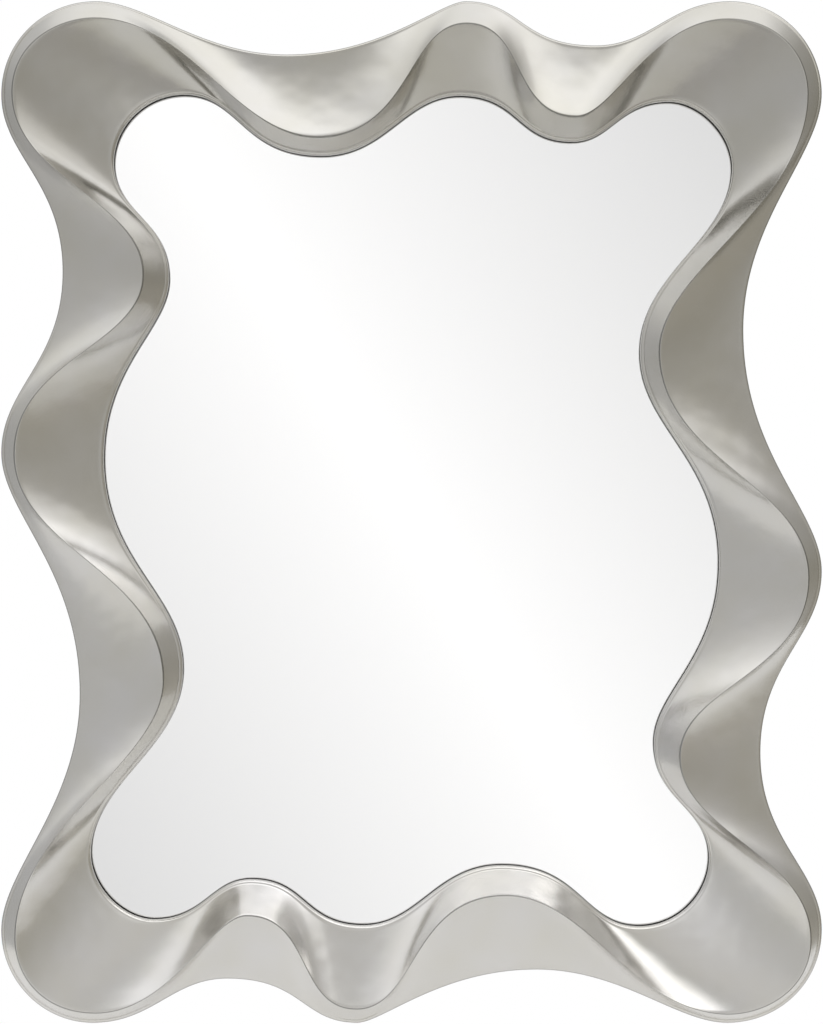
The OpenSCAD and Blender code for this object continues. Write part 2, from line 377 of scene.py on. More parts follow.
def loft_tree():
    """Sweeps the section round the three outlines."""
    lines = ("Edge Line", "Ridge Line", "Sight Line")
    sizes = ("Edge Height", "Ridge Height", "Lip Height", "Edge Radius", "Lip Radius", "Ridge Radius",
             "Outer Scoop Radius", "Inner Scoop Radius", "Sharp Angle")
    inputs = [(n, "NodeSocketObject") for n in (*lines, "Section")]
    inputs += [(n, "NodeSocketInt") for n in ("Stations", "Section Points")]
    inputs += [(n, "NodeSocketFloat") for n in sizes] + [("Leaf", "NodeSocketMaterial")]
    t, given, result = node_group("frame_loft", "GeometryNodeTree", inputs, [("Mesh", "NodeSocketGeometry")])

    # Each column of the grid is a section. Half a point more keeps the division clear of whole numbers.
    grid = t.out("GeometryNodeMeshGrid", "Mesh", {
        "Vertices X": t.math("ADD", given["Stations"], 1), "Vertices Y": given["Section Points"]})
    index = t.out("GeometryNodeInputIndex", "Index")
    column = t.math("FLOOR", t.math("DIVIDE", t.math("ADD", index, 0.5), given["Section Points"]))
    station = t.math("MODULO", column, given["Stations"])
    across = t.math("SUBTRACT", index, t.math("MULTIPLY", column, given["Section Points"]))

    def read(geometry, value, at, kind):
        return t.out("GeometryNodeSampleIndex", "Value",
                     {"Geometry": geometry, "Value": value, "Index": at}, data_type=kind, domain="POINT")

    position = t.out("GeometryNodeInputPosition", "Position")
    tangent = t.out("GeometryNodeInputTangent", "Tangent")
    points, ways = {}, {}
    for name in lines:
        line = t.out("GeometryNodeResampleCurve", "Curve", {"Curve": t.shape(given[name])}, mode="EVALUATED")
        points[name] = read(line, position, station, "FLOAT_VECTOR")
        along = t.axes(read(line, tangent, station, "FLOAT_VECTOR"))
        outwards = {"X": t.math("MULTIPLY", along["Z"], -1), "Z": along["X"]}
        ways[name] = t.out("ShaderNodeCombineXYZ", "Vector", outwards)
    section = t.shape(given["Section"])
    marks = {}
    for mark in SECTION_MARKS:
        value = t.out("GeometryNodeInputNamedAttribute", "Attribute", {"Name": mark}, data_type="FLOAT")
        marks[mark] = read(section, value, across, "FLOAT")

    def off_wall(h):
        return t.out("ShaderNodeCombineXYZ", "Vector", {"Y": t.math("MULTIPLY", h, -1)})

    def scoop(name, radius, way, height, hollow):
        """A place on a scoop, from its rolled edge up to where the ridge begins to round."""
        low = t.vector("ADD", points[name], t.scaled(ways[name], t.math("MULTIPLY", radius, way)))
        span = t.vector("SUBTRACT", points["Ridge Line"], low)
        width = t.length(span)
        reach = t.math("SUBTRACT", 1, t.math("DIVIDE", given["Ridge Radius"], width))
        part = t.math("MULTIPLY", marks["along"], reach)
        straight = t.math("MULTIPLY", t.math("SUBTRACT", given["Ridge Height"], height), part)
        dip = t.math("DIVIDE", t.math("MULTIPLY", width, width), t.math("MULTIPLY", hollow, 2))
        dip = t.math("MULTIPLY", dip, t.math("MULTIPLY", part, t.math("SUBTRACT", 1, part)))
        up = t.math("ADD", height, t.math("SUBTRACT", straight, dip))
        return t.vector("ADD", t.vector("ADD", low, t.scaled(span, part)), off_wall(up))

    outer = scoop("Edge Line", given["Edge Radius"], -1, given["Edge Height"], given["Outer Scoop Radius"])
    inner = scoop("Sight Line", given["Lip Radius"], 1, given["Lip Height"], given["Inner Scoop Radius"])
    ridge = t.vector("ADD", points["Ridge Line"], off_wall(given["Ridge Height"]))
    spot = off_wall(marks["raise"])
    for part, share in ((outer, "outer_share"), (ridge, "ridge_share"), (inner, "inner_share"),
                        (ways["Edge Line"], "edge_push"), (ways["Sight Line"], "sight_push")):
        spot = t.vector("ADD", spot, t.scaled(part, marks[share]))

    mesh = t.out("GeometryNodeSetPosition", "Geometry", {"Geometry": grid, "Position": spot})
    mesh = t.out("GeometryNodeFlipFaces", "Mesh", {"Mesh": mesh})
    # Marks for the painted shade on the leaf: how near a point is to the middle of the crest and to the side
    # wall, up to 1
    crest = t.math("MULTIPLY", marks["ridge_share"], 2)
    rim = t.math("DIVIDE", marks["edge_push"], given["Edge Radius"])
    for name, value in (("crest", crest), ("rim", rim)):
        mesh = t.out("GeometryNodeStoreNamedAttribute", "Geometry", {
            "Geometry": mesh, "Name": name, "Value": value}, data_type="FLOAT", domain="POINT")
    mesh = t.out("GeometryNodeMergeByDistance", "Geometry", {"Geometry": mesh, "Distance": WELD})
    angle = t.out("GeometryNodeInputMeshEdgeAngle", "Unsigned Angle")
    sharp = t.out("FunctionNodeCompare", "Result", {"A": angle, "B": given["Sharp Angle"]},
                  data_type="FLOAT", operation="GREATER_THAN")
    mesh = t.out("GeometryNodeSetShadeSmooth", "Geometry", {"Geometry": mesh, "Shade Smooth": True},
                 domain="FACE")
    mesh = t.out("GeometryNodeSetShadeSmooth", "Geometry",
                 {"Geometry": mesh, "Selection": sharp, "Shade Smooth": False}, domain="EDGE")
    return t.end(result, mesh, given["Leaf"])


def cast_frame(leaf):
    rows = frame_section()
    edge_line = outline_curve("edge_line", EDGE, 0)
    ridge_line = outline_curve("ridge_line", RIDGE, -RIDGE_DROP)
    sight_line = outline_curve("sight_line", SIGHT, SIGHT_LIFT)
    section = section_object(rows)
    cast = grown("wavy_frame", loft_tree(), {
        "Edge Line": edge_line, "Ridge Line": ridge_line, "Sight Line": sight_line, "Section": section,
        "Stations": TURNS * FINE_STEPS, "Section Points": len(rows),
        "Edge Height": EDGE_H * MM, "Ridge Height": RIDGE_H * MM, "Lip Height": LIP_H * MM,
        "Edge Radius": EDGE_R * MM, "Lip Radius": LIP_R * MM, "Ridge Radius": RIDGE_R * MM,
        "Outer Scoop Radius": OUTER_SCOOP_R * MM, "Inner Scoop Radius": INNER_SCOOP_R * MM,
        "Sharp Angle": math.radians(FRAME_CREASE), "Leaf": leaf,
    })
    for helper in (edge_line, ridge_line, sight_line, section):
        bpy.data.objects.remove(helper)
    return cast


# Closed skins

EDGE_LINE = outline(EDGE, 0, FINE_STEPS)
SIGHT_LINE = outline(SIGHT, SIGHT_LIFT, FINE_STEPS)


class Skin:
    """Points and faces of one closed piece, put together ring by ring."""

    def __init__(self):
        self.points, self.faces = [], []

    def ring(self, points):
        start = len(self.points)
        self.points += points
        return list(range(start, len(self.points)))

    def band(self, a, b):
        """Joins two rings of as many points."""
        n = len(a)
        self.faces += [(a[k], a[(k + 1) % n], b[(k + 1) % n], b[k]) for k in range(n)]

    def bands(self, *rings):
        for a, b in zip(rings, rings[1:]):
            self.band(a, b)

    def cap(self, *rings):
        """Fills in a ring, less the rings that lie inside it."""
        order = [index for ring in rings for index in ring]
        corners = tessellate_polygon([[self.points[index] for index in ring] for ring in rings])
        self.faces += [tuple(order[corner] for corner in triangle) for triangle in corners]

    def piece(self, name):
        mesh = bpy.data.meshes.new(name)
        shape = bmesh.new()
        corners = [shape.verts.new(point) for point in self.points]
        for face in self.faces:
            shape.faces.new([corners[index] for index in face])
        bmesh.ops.recalc_face_normals(shape, faces=shape.faces)
        shape.to_mesh(mesh)
        shape.free()
        mesh.shade_smooth()
        mesh.set_sharp_from_angle(angle=math.radians(CREASE))
        return put(name, mesh)


def level(points, h):
    return [place(x, z, h) for x, z in points]


def plate_rings(skin, line, reach, low, high, arris=ARRIS):
    """Rings up the side of a plate that follows a line at a distance, with both its corners broken.

    The corners are drawn in by arris, or out where it is negative, as on the inside of a ring.
    """
    side = pushed(line, reach)
    drawn_in = pushed(line, reach - arris)
    return [skin.ring(level(drawn_in, low)), skin.ring(level(side, low + abs(arris))),
            skin.ring(level(side, high - abs(arris))), skin.ring(level(drawn_in, high))]


def wavy_plate(name, reach, low, high, arris=ARRIS):
    """A plate that follows the sight edge at a distance."""
    skin = Skin()
    rings = plate_rings(skin, SIGHT_LINE, reach, low, high, arris)
    skin.bands(*rings)
    skin.cap(rings[0])
    skin.cap(rings[-1])
    return skin.piece(name)


def bedding_tape():
    skin = Skin()
    outside = plate_rings(skin, SIGHT_LINE, TAPE_INSET + TAPE_W, GLASS_H, TAPE_H, TAPE_ARRIS)
    inside = plate_rings(skin, SIGHT_LINE, TAPE_INSET, GLASS_H, TAPE_H, -TAPE_ARRIS)
    skin.bands(*outside, *inside[::-1], outside[0])
    return skin.piece("black_bedding_tape")


def circle(x, z, r, h):
    turns = [math.tau * k / CIRCLE_STEPS for k in range(CIRCLE_STEPS)]
    return [place(x + r * math.cos(a), z + r * math.sin(a), h) for a in turns]


def panel_screw_places():
    """The screws of the back panel: one at every so many of the solids' stations round the sight edge.

    The first one is an eighth of their spacing on from the start of the outline.
    """
    line = outline(SIGHT, SIGHT_LIFT, CAD_STEPS)
    side = pushed(line, PANEL_SCREW_LINE)
    apart = len(line) / PANEL_SCREWS
    return [side[round(k * apart + apart / 8)] for k in range(PANEL_SCREWS)]


def back_panel():
    """The panel with a countersunk hole for each screw."""
    skin = Skin()
    outside = plate_rings(skin, SIGHT_LINE, PANEL_EDGE - FIT_GAP, BACK_H, PANEL_H)
    skin.bands(*outside)
    head_r = HEAD_D / 2 + HOLE_PLAY
    bore_r = SCREW_D / 2 + HOLE_PLAY
    profile = (
        (head_r + HOLE_ARRIS, BACK_H), (head_r, BACK_H + HOLE_ARRIS), (head_r, BACK_H + HOLE_SINK),
        (bore_r, BACK_H + HOLE_SINK + HEAD_CONE), (bore_r, PANEL_H),
    )
    holes = [[skin.ring(circle(x, z, r, h)) for r, h in profile] for x, z in panel_screw_places()]
    for hole in holes:
        skin.bands(*hole)
    for end in (0, -1):
        skin.cap(outside[end], *(hole[end] for hole in holes))
    return skin.piece("screwed_back_panel")


def base_piece(name, quarter):
    """A quarter of the base ring, from one corner joint to the next, with a step for the back panel."""
    sides = (
        pushed(EDGE_LINE, -SKIRT_T - FIT_GAP), pushed(SIGHT_LINE, REBATE), pushed(SIGHT_LINE, PANEL_EDGE),
    )
    # Which of the sides each corner of the section lies on, and its height
    corners = ((0, BACK_H), (0, BASE_H), (1, BASE_H), (1, PANEL_H), (2, PANEL_H), (2, BACK_H))
    long = TOP_TURNS * FINE_STEPS
    first = round((TOP_TURNS - 0.5) * FINE_STEPS) + (quarter - 1) * long
    skin = Skin()
    rings = [
        skin.ring([place(*sides[side][k % len(EDGE_LINE)], h) for side, h in corners])
        for k in range(first, first + long + 1)
    ]
    skin.bands(*rings)
    skin.faces += [tuple(rings[0]), tuple(rings[-1])]
    obj = skin.piece(name)
    bevel = obj.modifiers.new("arris", "BEVEL")
    bevel.width = ARRIS * MM
    bevel.segments = 2
    bevel.angle_limit = math.radians(45)
    return obj


# Screws and rings


def cross_screw():
    """A countersunk screw with a cross recess, its head flush at y = 0 and its point towards -Y."""
    skin = Skin()
    profile = (
        (HEAD_D / 2 - HEAD_ARRIS, 0), (HEAD_D / 2, HEAD_EDGE / 2), (HEAD_D / 2, HEAD_EDGE),
        (SCREW_D / 2, HEAD_EDGE + HEAD_CONE), (SCREW_D / 2, SCREW_L - SCREW_D / 2), (POINT_R, SCREW_L),
    )
    rings = [skin.ring(circle(0, 0, r, h)) for r, h in profile]
    half = CROSS_W / 2
    arm = ((half, CROSS_ARM), (half, half), (CROSS_ARM, half))
    turns = ((1, 0), (0, -1), (-1, 0), (0, 1))
    cross = [(x * c - z * d, x * d + z * c) for c, d in turns for x, z in arm]
    mouth = skin.ring(level(cross, 0))
    floor = skin.ring(level([(x * CROSS_TAPER, z * CROSS_TAPER) for x, z in cross], CROSS_DEPTH))
    skin.bands(*rings)
    skin.band(mouth, floor)
    skin.cap(rings[0], mouth)
    skin.cap(floor)
    skin.cap(rings[-1])
    return skin.piece("cross_screw")


def screw_tree():
    """Sets a screw on each place, turned by chance about its own axis."""
    t, given, result = node_group("set_screws", "GeometryNodeTree", [
        ("Places", "NodeSocketGeometry"), ("Screw", "NodeSocketObject"), ("Seed", "NodeSocketInt"),
        ("Metal", "NodeSocketMaterial")], [("Mesh", "NodeSocketGeometry")])
    turn = t.out("FunctionNodeRandomValue", "Value", {
        "Min": (0, 0, 0), "Max": (0, math.tau, 0), "Seed": given["Seed"]}, data_type="FLOAT_VECTOR")
    screws = t.out("GeometryNodeInstanceOnPoints", "Instances", {
        "Points": given["Places"], "Instance": t.shape(given["Screw"]),
        "Rotation": t.out("FunctionNodeEulerToRotation", "Rotation", {"Euler": turn})})
    return t.end(result, screws, given["Metal"])


def set_screws(name, places, seed, tree, screw, metal):
    points = bpy.data.meshes.new(name + "_places")
    points.from_pydata(places, [], [])
    return grown(name, tree, {"Screw": screw, "Seed": seed, "Metal": metal}, points)


def hanger_point(hanger, x, z):
    """A point of a hanger's own drawing, with its hinge line along x, on the back of the mirror."""
    at_x, at_z, degrees = HANGERS[hanger]
    c, d = math.cos(math.radians(degrees)), math.sin(math.radians(degrees))
    return at_x + x * c - z * d, at_z + x * d + z * c


def ring_path(hanger):
    """The middle of a ring's wire: its straight side on the hinge line, its bow away from the strap."""
    half = RING_W / 2
    down = 1 if hanger == FOLDED else -1
    # Middle, radius, first and last angle in degrees, and steps of each bend
    bends = (
        (half - RING_R, RING_R, RING_R, -90, 0, BEND_STEPS),
        (0, RING_R + RING_SIDE, half, 0, 180, BOW_STEPS),
        (RING_R - half, RING_R, RING_R, 180, 270, BEND_STEPS),
    )
    path = []
    for x, z, r, start, end, steps in bends:
        for k in range(steps + 1):
            a = math.radians(start + (end - start) * k / steps)
            path.append((x + r * math.cos(a), down * (z + r * math.sin(a))))
    curve = bpy.data.curves.new(hanger + "_ring_path", "CURVE")
    curve.dimensions = "3D"
    spline = curve.splines.new("POLY")
    spline.points.add(len(path) - 1)
    spline.use_cyclic_u = True
    for point, (x, z) in zip(spline.points, path):
        point.co = (*place(*hanger_point(hanger, x, z), PIN_H), 1)
    return put(curve.name, curve)


def wire_tree():
    """Sweeps a round wire along a closed path."""
    t, given, result = node_group("bent_wire", "GeometryNodeTree", [
        ("Path", "NodeSocketObject"), ("Wire Radius", "NodeSocketFloat"), ("Sides", "NodeSocketInt"),
        ("Metal", "NodeSocketMaterial")], [("Mesh", "NodeSocketGeometry")])
    round_wire = t.out("GeometryNodeCurvePrimitiveCircle", "Curve", {
        "Resolution": given["Sides"], "Radius": given["Wire Radius"]}, mode="RADIUS")
    wire = t.out("GeometryNodeCurveToMesh", "Mesh", {
        "Curve": t.shape(given["Path"]), "Profile Curve": round_wire})
    wire = t.out("GeometryNodeSetShadeSmooth", "Geometry", {"Geometry": wire, "Shade Smooth": True},
                 domain="FACE")
    return t.end(result, wire, given["Metal"])


# Finishes. Sizes and depths of a pattern are in metres.

# The middle part of the noise that is spread over the whole range: in the clouds and in the grain
CLOUD_SPAN, GRAIN_SPAN = (0.32, 0.68), (0.3, 0.7)


def cloudy_group():
    """Soft patches between two colours."""
    t, given, result = node_group("cloudy", "ShaderNodeTree", [
        ("Vector", "NodeSocketVector"), ("Patch Size", "NodeSocketFloat"), ("Seed", "NodeSocketFloat"),
        ("Dark", "NodeSocketColor"), ("Light", "NodeSocketColor")], [("Color", "NodeSocketColor")])
    cloud = t.out("ShaderNodeTexNoise", "Fac", {
        "Vector": given["Vector"], "W": given["Seed"], "Scale": t.math("DIVIDE", 1, given["Patch Size"]),
        "Detail": 3.0}, noise_dimensions="4D")
    t.feed(result["Color"], t.mixed(t.spread(cloud, *CLOUD_SPAN), given["Dark"], given["Light"]))
    return t.tree


def grain_group():
    """Fine grain: a value between two limits, for gloss, and a height for relief."""
    t, given, result = node_group("grain", "ShaderNodeTree", [
        ("Vector", "NodeSocketVector"), ("Grain Size", "NodeSocketFloat"), ("Low", "NodeSocketFloat"),
        ("High", "NodeSocketFloat")], [("Value", "NodeSocketFloat"), ("Height", "NodeSocketFloat")])
    noise = t.out("ShaderNodeTexNoise", "Fac", {
        "Vector": given["Vector"], "Scale": t.math("DIVIDE", 1, given["Grain Size"]), "Detail": 2.0})
    t.feed(result["Value"], t.spread(noise, *GRAIN_SPAN, given["Low"], given["High"]))
    t.feed(result["Height"], noise)
    return t.tree


CLOUDY = cloudy_group()
GRAIN = grain_group()


class Finish:
    """A material with its constants on its shader, and the shared effects placed in it."""

    def __init__(self, name, constants=None):
        self.material = bpy.data.materials.new(name)
        self.material.use_nodes = True
        self.t = Tree(self.material.node_tree)
        self.shader = self.material.node_tree.nodes["Principled BSDF"].inputs
        for socket, value in (constants or {}).items():
            self.feed(socket, value)
        self.spot = self.t.out("ShaderNodeTexCoord", "Object")

    def feed(self, socket, value):
        self.t.feed(self.shader[socket], value)

    def effect(self, group, values):
        node = self.t.add("ShaderNodeGroup", node_tree=group)
        for name, value in values.items():
            self.t.feed(node.inputs[name], value)
        return node.outputs

    def clouds(self, patch, dark, light, seed=0.0):
        return self.effect(CLOUDY, {
            "Vector": self.spot, "Patch Size": patch, "Dark": dark, "Light": light, "Seed": seed})["Color"]

    def grain(self, size, low=0.0, high=1.0, vector=None):
        return self.effect(GRAIN, {
            "Vector": vector or self.spot, "Grain Size": size, "Low": low, "High": high})

    def stretched(self, scale):
        return self.t.out("ShaderNodeMapping", "Vector", {"Vector": self.spot, "Scale": scale})

    def bump(self, height, depth, strength=1.0):
        return self.t.out("ShaderNodeBump", "Normal", {
            "Height": height, "Strength": strength, "Distance": depth})


# Painted shade on the leaf: dark lines on the crest and down the rolled rim. The mark that it follows, where
# it starts on it, its greatest share and its colour
PAINTED_EDGE_SHADE = (("crest", 0.4, 0.85, (0.17, 0.17, 0.16)), ("rim", 0.5, 0.9, (0.18, 0.18, 0.175)))
# Painted light and shade: the leaf's colour is multiplied by these at the top and at the bottom, so that the
# bottom is painted lighter and the top darker. The reach of both from the middle is in metres
PAINTED_TOP_SHADE, PAINTED_BOTTOM_LIGHT = (0.845, 0.84, 0.815), (1.16, 1.16, 1.175)
PAINTED_LIGHT_REACH = 0.5
# The leaf ends between these distances from the back of the casting, in mm, and the raw casting is duller
LEAF_END, RAW_START = 0.6, 0.1
RAW_DULL = 0.4


def champagne_leaf():
    """Leafed casting: satin champagne silver over a gentle unevenness, with painted shade in dark grey lines
    on the crest and down the side, and painted light that makes it lighter towards the bottom and darker
    towards the top. The back is raw casting."""
    leaf = Finish("champagne_leaf")
    t = leaf.t
    spot = t.axes(leaf.spot)
    leaf_with_painted_light = leaf.clouds(patch=0.07, dark=(0.642, 0.628, 0.587), light=(0.670, 0.660, 0.648))
    # Painted shade: the leaf is darkened to grey along the crest and down the rim
    for mark, start, most, colour in PAINTED_EDGE_SHADE:
        here = t.out("ShaderNodeAttribute", "Fac", attribute_name=mark)
        leaf_with_painted_light = t.mixed(t.spread(here, start, 1, high=most), leaf_with_painted_light, colour)
    # Painted light and shade: lighter towards the bottom, darker towards the top
    bottom_light_share = t.spread(spot["Z"], PAINTED_LIGHT_REACH, -PAINTED_LIGHT_REACH)
    leaf_with_painted_light = t.vector("MULTIPLY", leaf_with_painted_light, t.mixed(bottom_light_share, PAINTED_TOP_SHADE, PAINTED_BOTTOM_LIGHT))
    raw = t.spread(spot["Y"], -(BACK_H + LEAF_END) * MM, -(BACK_H + RAW_START) * MM)
    resin = leaf.clouds(patch=0.03, dark=(0.10, 0.09, 0.08), light=(0.16, 0.15, 0.135), seed=3.0)
    satin = leaf.grain(size=0.003, low=0.225, high=0.25)["Value"]
    leaf.feed("Base Color", t.mixed(raw, leaf_with_painted_light, resin))
    leaf.feed("Metallic", t.math("SUBTRACT", 1, raw))
    leaf.feed("Roughness", t.math("ADD", satin, t.math("MULTIPLY", raw, RAW_DULL)))
    leaf.feed("Normal", leaf.bump(leaf.grain(size=0.06)["Height"], depth=0.0014))
    return leaf.material


def clear_glass():
    glass = Finish("clear_glass", {
        "Base Color": (0.995, 0.998, 0.995), "Roughness": 0.0, "IOR": 1.5, "Transmission Weight": 1.0})
    return glass.material


def silver_coat():
    """Silver seen through the glass."""
    silver = Finish("silver_coat", {"Metallic": 1.0, "Base Color": (0.975, 0.97, 0.97), "Roughness": 0.0})
    return silver.material


def black_tape():
    tape = Finish("black_tape", {"Roughness": 0.7})
    tape.feed("Base Color", tape.clouds(patch=0.01, dark=(0.012, 0.012, 0.012), light=(0.025, 0.025, 0.025)))
    tape.feed("Normal", tape.bump(tape.grain(size=0.0005)["Height"], depth=0.0001))
    return tape.material


def white_foam():
    foam = Finish("white_foam", {"Roughness": 0.9})
    foam.feed("Base Color", foam.clouds(patch=0.02, dark=(0.78, 0.77, 0.74), light=(0.86, 0.86, 0.83)))
    foam.feed("Normal", foam.bump(foam.grain(size=0.0008)["Height"], depth=0.0002))
    return foam.material


def hardboard():
    """Pressed brown board: long darker fibres over soft patches, with a dull pressed skin."""
    board = Finish("hardboard")
    fibre = board.grain(size=0.0009, vector=board.stretched((1, 1, 0.16)))
    dark_share = board.t.math("MULTIPLY", fibre["Value"], 0.45)
    patches = board.clouds(patch=0.07, dark=(0.222, 0.133, 0.07), light=(0.266, 0.163, 0.088), seed=5.0)
    board.feed("Base Color", board.t.mixed(dark_share, patches, (0.12, 0.068, 0.035)))
    board.feed("Roughness", board.grain(size=0.004, low=0.45, high=0.62)["Value"])
    board.feed("Normal", board.bump(fibre["Height"], depth=0.00012, strength=0.7))
    return board.material


def fibreboard():
    """Pale dense board with short specks."""
    board = Finish("fibreboard")
    specks = board.grain(size=0.0014)
    dark_share = board.t.math("MULTIPLY", specks["Value"], 0.3)
    patches = board.clouds(patch=0.05, dark=(0.45, 0.325, 0.20), light=(0.50, 0.37, 0.235), seed=9.0)
    board.feed("Base Color", board.t.mixed(dark_share, patches, (0.30, 0.20, 0.115)))
    board.feed("Roughness", board.grain(size=0.003, low=0.68, high=0.82)["Value"])
    board.feed("Normal", board.bump(specks["Height"], depth=0.00015, strength=0.6))
    return board.material


def plated_steel(name, patch, dark, light, low, high):
    """Plated steel: mottled, between two roughnesses, with fine drawn scratches."""
    steel = Finish(name, {"Metallic": 1.0})
    scratches = steel.grain(size=0.0002, vector=steel.stretched((0.1, 1, 1)))
    steel.feed("Base Color", steel.clouds(patch, dark, light, seed=2.0))
    steel.feed("Roughness", steel.grain(patch / 4, low, high)["Value"])
    steel.feed("Normal", steel.bump(scratches["Height"], depth=0.00003, strength=0.5))
    return steel.material


def bumper_rubber():
    rubber = Finish("bumper_rubber")
    black = rubber.clouds(patch=0.006, dark=(0.018, 0.017, 0.016), light=(0.04, 0.038, 0.036))
    fine = rubber.grain(size=0.0006, low=0.55, high=0.75)
    rubber.feed("Base Color", black)
    rubber.feed("Roughness", fine["Value"])
    rubber.feed("Normal", rubber.bump(fine["Height"], depth=0.00008))
    return rubber.material


# The mirror

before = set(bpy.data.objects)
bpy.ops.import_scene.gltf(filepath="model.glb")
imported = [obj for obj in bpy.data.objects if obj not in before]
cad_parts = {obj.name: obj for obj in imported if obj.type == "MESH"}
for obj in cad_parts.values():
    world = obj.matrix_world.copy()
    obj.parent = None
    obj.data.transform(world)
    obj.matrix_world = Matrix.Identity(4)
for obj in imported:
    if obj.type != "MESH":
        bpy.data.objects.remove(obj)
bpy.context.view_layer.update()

ZINC = plated_steel("zinc_plate", patch=0.006, dark=(0.50, 0.50, 0.48), light=(0.66, 0.66, 0.63),
                    low=0.28, high=0.42)
NICKEL = plated_steel("nickel_plate", patch=0.01, dark=(0.60, 0.585, 0.56), light=(0.68, 0.665, 0.64),
                      low=0.16, high=0.26)
HARDBOARD = hardboard()
FIBREBOARD = fibreboard()
RUBBER = bumper_rubber()


def coat(obj, material):
    """Gives a piece, or a solid that is carried over, its finish."""
    obj.data.materials.clear()
    obj.data.materials.append(material)


def stand_for(piece, node, body="mirror", material=None):
    """Gives a piece its finish, if one is given, sets it on its body and hides the solid that it stands for.
    """
    if material:
        coat(piece, material)
    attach(piece, body)
    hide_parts(node)


stand_for(cast_frame(champagne_leaf()), "frame_shell")
glass = wavy_plate("clear_glass", GLASS_LAP, FOAM_H + SILVER_T / 2, GLASS_H)
stand_for(glass, "mirror_glass", material=clear_glass())
silvering = wavy_plate("silvering", GLASS_LAP - ARRIS, FOAM_H, FOAM_H + SILVER_T, SILVER_ARRIS)
stand_for(silvering, "mirror_glass", material=silver_coat())
stand_for(bedding_tape(), "bedding_tape", material=black_tape())
foam = wavy_plate("pressing_foam", GLASS_LAP, PANEL_H, FOAM_H)
stand_for(foam, "foam_sheet", material=white_foam())
stand_for(back_panel(), "back_panel", material=HARDBOARD)
for quarter, node in enumerate(("base_top_rail", "base_right_stile", "base_bottom_rail", "base_left_stile")):
    stand_for(base_piece("board_" + node, quarter), node, material=FIBREBOARD)

screw = cross_screw()
setter = screw_tree()
panel_places = [place(x, z, BACK_H) for x, z in panel_screw_places()]
strap_places = [
    place(*hanger_point(hanger, 0, STRAP_L * share), BACK_H - STRAP_T)
    for hanger in HANGERS for share in STRAP_SCREWS
]
for node, places, seed in (("panel_screws", panel_places, 4), ("strap_screws", strap_places, 9)):
    stand_for(set_screws("set_" + node, places, seed, setter, screw, ZINC), node)
bpy.data.objects.remove(screw)

bender = wire_tree()
for hanger in HANGERS:
    path = ring_path(hanger)
    ring = grown(hanger + "_wire_ring", bender, {
        "Path": path, "Wire Radius": WIRE_D / 2 * MM, "Sides": WIRE_SIDES, "Metal": NICKEL})
    bpy.data.objects.remove(path)
    stand_for(ring, hanger + "_ring", body=hanger + "_hanger_ring")
    coat(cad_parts[hanger + "_strap"], ZINC)
for corner in ("top_left", "top_right", "bottom_right", "bottom_left"):
    coat(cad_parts[corner + "_bumper"], RUBBER)

camera = put("camera", bpy.data.cameras.new("camera"))
camera.location = (0, -CAMERA_AWAY, 0)
camera.rotation_euler = (math.radians(90), 0, 0)
camera.data.lens = LENS
bpy.context.scene.camera = camera
bpy.context.scene.view_settings.view_transform = "Standard"


# Studio

# Light of the room to the left, ahead and to the right of the mirror: sine of the elevation, and colour
LEFT_SKY = (
    (-0.4, (0.62, 0.62, 0.62)), (0.0, (0.55, 0.55, 0.54)), (0.2, (0.58, 0.58, 0.58)),
    (0.4, (0.74, 0.74, 0.74)), (0.55, (0.98, 0.98, 0.98)), (0.7, (1.02, 1.02, 1.02)),
    (0.85, (1.10, 1.10, 1.10)), (1.0, (1.25, 1.25, 1.27)),
)
FRONT_SKY = (
    (-0.4, (0.46, 0.45, 0.44)), (-0.2, (0.54, 0.54, 0.53)), (0.0, (0.53, 0.53, 0.52)),
    (0.4, (0.67, 0.66, 0.64)), (0.58, (0.46, 0.46, 0.45)), (0.66, (0.66, 0.66, 0.66)),
    (0.74, (1.50, 1.50, 1.50)), (0.82, (1.65, 1.65, 1.65)), (1.0, (1.35, 1.35, 1.35)),
)
RIGHT_SKY = (
    (-0.4, (0.44, 0.42, 0.37)), (-0.2, (0.44, 0.42, 0.37)), (0.0, (0.38, 0.365, 0.32)),
    (0.4, (0.48, 0.47, 0.44)), (0.55, (0.57, 0.56, 0.54)), (0.7, (1.00, 0.99, 0.98)),
    (0.85, (1.50, 1.49, 1.49)), (1.0, (1.50, 1.50, 1.53)),
)
# Lowest elevation of the tables, and a light brighter than all of theirs
SKY_LOW, SKY_TOP = -0.5, 2.0
# How far to the side, as the x of a direction, the left or right column has taken over
SIDE_SKY = 0.8
# The room is dimmed behind the mirror, from and to these y of a direction
BEHIND_DIM, BEHIND_START, BEHIND_END = 0.84, 0.1, 0.4
# White card straight ahead: its light on the diagonal, how fast that falls off to the side and upwards, its
# half width and half height as slopes, and the softness of its border
CARD_LIGHT = 1.055
CARD_FALL_U, CARD_FALL_V = 1.45, 0.87
CARD_U, CARD_V, CARD_SOFT = 0.13, 0.17, 0.06
LEAST_AHEAD = 0.01
# A soft square light up to the right that faces the mirror
PANEL_AT, PANEL_AIM = (0.85, -0.9, 1.05), (-0.2, 0.0, 0.2)
PANEL_SIDE, PANEL_WATTS = 1.0, 1.3
# Floor of pale paper, in metres, with painted shade that darkens it towards the front and right
FLOOR_X, FLOOR_FRONT, FLOOR_BACK, FLOOR_Z = 2.0, -2.4, 2.0, -1.0
PAPER_LIGHT, PAPER_PAINTED_SHADE, PAPER_ROUGHNESS = (0.85, 0.85, 0.84), (0.68, 0.67, 0.64), 0.8
PAPER_SLANT, PAPER_START, PAPER_END = 0.6, 0.8, 1.9


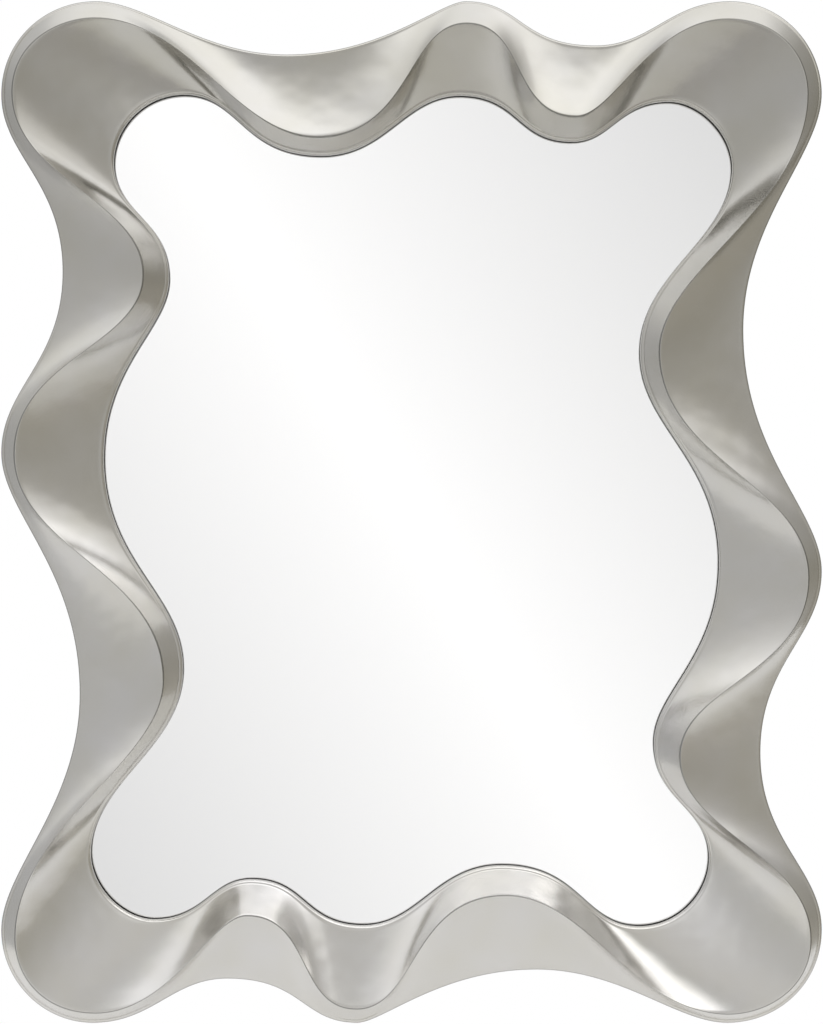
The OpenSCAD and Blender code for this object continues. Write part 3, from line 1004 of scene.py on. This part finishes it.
def studio_world():
    """Plain white for the camera. Reflections see a bright ceiling over a dimmer room, and straight ahead a
    white card that is brightest along one diagonal."""
    world = bpy.data.worlds.new("studio")
    world.use_nodes = True
    world.node_tree.nodes.clear()
    bpy.context.scene.world = world
    t = Tree(world.node_tree)
    way = t.axes(t.out("ShaderNodeTexCoord", "Generated"))
    elevation = t.spread(way["Z"], SKY_LOW, 1)

    def sky(stops):
        ramp = t.add("ShaderNodeValToRGB", {0: elevation})
        elements = ramp.color_ramp.elements
        for k, (up, colour) in enumerate(stops):
            stop = (up - SKY_LOW) / (1 - SKY_LOW)
            element = elements[k] if k < 2 else elements.new(stop)
            element.position = stop
            element.color = (*(c / SKY_TOP for c in colour), 1)
        return t.scaled(ramp.outputs[0], SKY_TOP)

    def to_side(edge):
        return t.spread(way["X"], 0, edge, rise="SMOOTHSTEP")

    def inside(value, edge):
        return t.spread(t.math("ABSOLUTE", value), edge + CARD_SOFT, edge, rise="SMOOTHSTEP")

    room = t.mixed(to_side(-SIDE_SKY), sky(FRONT_SKY), sky(LEFT_SKY))
    room = t.mixed(to_side(SIDE_SKY), room, sky(RIGHT_SKY))
    room = t.scaled(room, t.spread(way["Y"], BEHIND_START, BEHIND_END, 1, BEHIND_DIM))
    ahead = t.math("MAXIMUM", t.math("MULTIPLY", way["Y"], -1), LEAST_AHEAD)
    u, v = t.math("DIVIDE", way["X"], ahead), t.math("DIVIDE", way["Z"], ahead)
    fall = t.math("ADD", t.math("MULTIPLY", u, CARD_FALL_U), t.math("MULTIPLY", v, CARD_FALL_V))
    shade = t.math("SUBTRACT", CARD_LIGHT, t.math("ABSOLUTE", fall))
    card = t.out("ShaderNodeCombineXYZ", "Vector", {"X": shade, "Y": shade, "Z": shade})
    light = t.mixed(t.math("MULTIPLY", inside(u, CARD_U), inside(v, CARD_V)), room, card)
    reflected = t.out("ShaderNodeBackground", 0, {"Color": light})
    plain = t.out("ShaderNodeBackground", 0, {"Color": (1, 1, 1)})
    seen = t.out("ShaderNodeLightPath", "Is Camera Ray")
    surface = t.out("ShaderNodeMixShader", 0, {0: seen, 1: reflected, 2: plain})
    t.add("ShaderNodeOutputWorld", {"Surface": surface})


def soft_light():
    light = bpy.data.lights.new("soft_light", "AREA")
    light.size = PANEL_SIDE
    light.energy = PANEL_WATTS
    panel = put("soft_light", light)
    panel.location = PANEL_AT
    panel.rotation_euler = (Vector(PANEL_AIM) - Vector(PANEL_AT)).to_track_quat("-Z", "Y").to_euler()
    panel.visible_camera = False


def studio_floor():
    mesh = bpy.data.meshes.new("floor")
    corners = [(-FLOOR_X, FLOOR_FRONT), (FLOOR_X, FLOOR_FRONT), (FLOOR_X, FLOOR_BACK), (-FLOOR_X, FLOOR_BACK)]
    mesh.from_pydata([(x, y, FLOOR_Z) for x, y in corners], [], [(0, 1, 2, 3)])
    paper = Finish("floor_paper", {"Roughness": PAPER_ROUGHNESS})
    spot = paper.t.axes(paper.spot)
    # Painted shade: the paper is darkened towards the front and right
    slant = paper.t.math("SUBTRACT", paper.t.math("MULTIPLY", spot["X"], PAPER_SLANT), spot["Y"])
    painted_shade_share = paper.t.spread(slant, PAPER_START, PAPER_END, rise="SMOOTHSTEP")
    paper.feed("Base Color", paper.t.mixed(painted_shade_share, PAPER_LIGHT, PAPER_PAINTED_SHADE))
    mesh.materials.append(paper.material)
    put("floor", mesh)


studio_world()
soft_light()
studio_floor()
